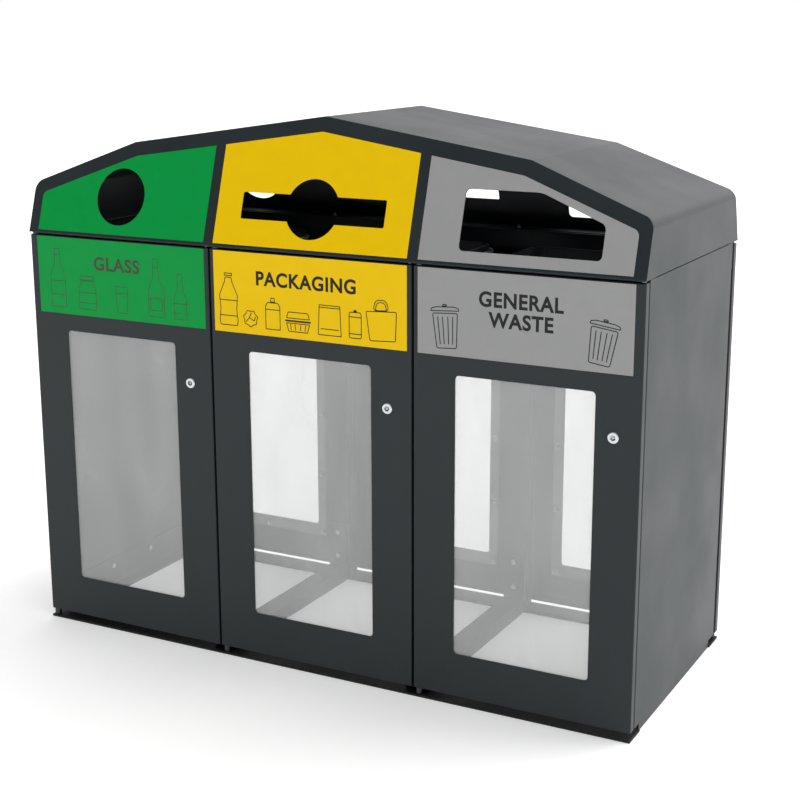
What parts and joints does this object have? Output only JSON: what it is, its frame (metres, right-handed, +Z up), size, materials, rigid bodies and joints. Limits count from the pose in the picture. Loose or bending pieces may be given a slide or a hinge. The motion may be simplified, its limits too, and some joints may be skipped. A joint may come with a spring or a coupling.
{
  "type": "recycling bin station",
  "caption": "Steel recycling station with bays under a gabled hood: windowed hinged doors with locks, coloured labels, shaped deposit openings, bag frames with lifting clamps.",
  "frame": {"origin": "on the ground below the middle of the station", "axes": "+Z up, +X along the row of bays to the right when facing the doors, -Y out of the doors"},
  "size_m": [1.4962, 0.618, 1.2304],
  "materials": {
    "powder_coated_steel": "anthracite fine-texture powder coat, satin",
    "zinc_plated_steel": "bright zinc plate",
    "chrome_plate": "polished chrome plate",
    "clear_polycarbonate": "clear sheet with a faint haze",
    "black_nylon": "moulded matt",
    "green_label": "printed satin laminate",
    "yellow_label": "printed satin laminate",
    "grey_label": "printed satin laminate"
  },
  "bodies": {
    "frame": {"base_rail_front": "powder_coated_steel", "base_rail_rear": "powder_coated_steel", "base_side_rails": "powder_coated_steel", "base_cross_beams": "powder_coated_steel", "post_front_left": "powder_coated_steel", "post_front_right": "powder_coated_steel", "post_rear_left": "powder_coated_steel", "post_rear_right": "powder_coated_steel", "header_front": "powder_coated_steel", "header_rear": "powder_coated_steel", "side_panel_left": "powder_coated_steel", "side_panel_right": "powder_coated_steel", "hood_roof": "powder_coated_steel", "hood_front_panel": "powder_coated_steel", "hood_rear_panel": "powder_coated_steel", "hinge_pins": "zinc_plated_steel", "frame_bolts": "zinc_plated_steel", "panel_bolts": "zinc_plated_steel", "rear_panel_spacers": "zinc_plated_steel", "rear_pane_studs": "zinc_plated_steel", "hood_screws": "zinc_plated_steel", "rear_panel_left": "powder_coated_steel", "rear_pane_left": "clear_polycarbonate", "bag_frame_left": "powder_coated_steel", "hood_label_front_left": "green_label", "hood_label_rear_left": "green_label", "rear_panel_middle": "powder_coated_steel", "rear_pane_middle": "clear_polycarbonate", "bag_frame_middle": "powder_coated_steel", "hood_label_front_middle": "yellow_label", "hood_label_rear_middle": "yellow_label", "rear_panel_right": "powder_coated_steel", "rear_pane_right": "clear_polycarbonate", "bag_frame_right": "powder_coated_steel", "hood_label_front_right": "grey_label", "hood_label_rear_right": "grey_label"},
    "door_left": {"door_panel_left": "powder_coated_steel", "door_pane_left": "clear_polycarbonate", "door_pane_studs_left": "zinc_plated_steel", "door_label_left": "green_label", "door_hinge_bushes_left": "black_nylon", "door_lock_body_left": "chrome_plate"},
    "lock_cam_left": {"door_lock_cam_left": "chrome_plate"},
    "bag_clamp_left": {"bag_clamp_left": "zinc_plated_steel"},
    "door_middle": {"door_panel_middle": "powder_coated_steel", "door_pane_middle": "clear_polycarbonate", "door_pane_studs_middle": "zinc_plated_steel", "door_label_middle": "yellow_label", "door_hinge_bushes_middle": "black_nylon", "door_lock_body_middle": "chrome_plate"},
    "lock_cam_middle": {"door_lock_cam_middle": "chrome_plate"},
    "bag_clamp_middle": {"bag_clamp_middle": "zinc_plated_steel"},
    "door_right": {"door_panel_right": "powder_coated_steel", "door_pane_right": "clear_polycarbonate", "door_pane_studs_right": "zinc_plated_steel", "door_label_right": "grey_label", "door_hinge_bushes_right": "black_nylon", "door_lock_body_right": "chrome_plate"},
    "lock_cam_right": {"door_lock_cam_right": "chrome_plate"},
    "bag_clamp_right": {"bag_clamp_right": "zinc_plated_steel"}
  },
  "joints": [
    {"name": "door_left_hinge", "type": "hinge", "parent": "frame", "child": "door_left", "pos_m": [-0.7375, -0.296, 0.48], "axis": [0, 0, -1], "range_deg": [0, 105]},
    {"name": "lock_left_turn", "type": "hinge", "parent": "door_left", "child": "lock_cam_left", "pos_m": [-0.309, -0.275, 0.637], "axis": [0, 1, 0], "range_deg": [0, 90]},
    {"name": "bag_clamp_left_lift", "type": "hinge", "parent": "frame", "child": "bag_clamp_left", "pos_m": [-0.5, 0.217, 0.905], "axis": [-1, 0, 0], "range_deg": [0, 20]},
    {"name": "door_middle_hinge", "type": "hinge", "parent": "frame", "child": "door_middle", "pos_m": [-0.2375, -0.296, 0.48], "axis": [0, 0, -1], "range_deg": [0, 105]},
    {"name": "lock_middle_turn", "type": "hinge", "parent": "door_middle", "child": "lock_cam_middle", "pos_m": [0.191, -0.275, 0.637], "axis": [0, 1, 0], "range_deg": [0, 90]},
    {"name": "bag_clamp_middle_lift", "type": "hinge", "parent": "frame", "child": "bag_clamp_middle", "pos_m": [0, 0.217, 0.905], "axis": [-1, 0, 0], "range_deg": [0, 20]},
    {"name": "door_right_hinge", "type": "hinge", "parent": "frame", "child": "door_right", "pos_m": [0.2625, -0.296, 0.48], "axis": [0, 0, -1], "range_deg": [0, 105]},
    {"name": "lock_right_turn", "type": "hinge", "parent": "door_right", "child": "lock_cam_right", "pos_m": [0.691, -0.275, 0.637], "axis": [0, 1, 0], "range_deg": [0, 90]},
    {"name": "bag_clamp_right_lift", "type": "hinge", "parent": "frame", "child": "bag_clamp_right", "pos_m": [0.5, 0.217, 0.905], "axis": [-1, 0, 0], "range_deg": [0, 20]}
  ]
}
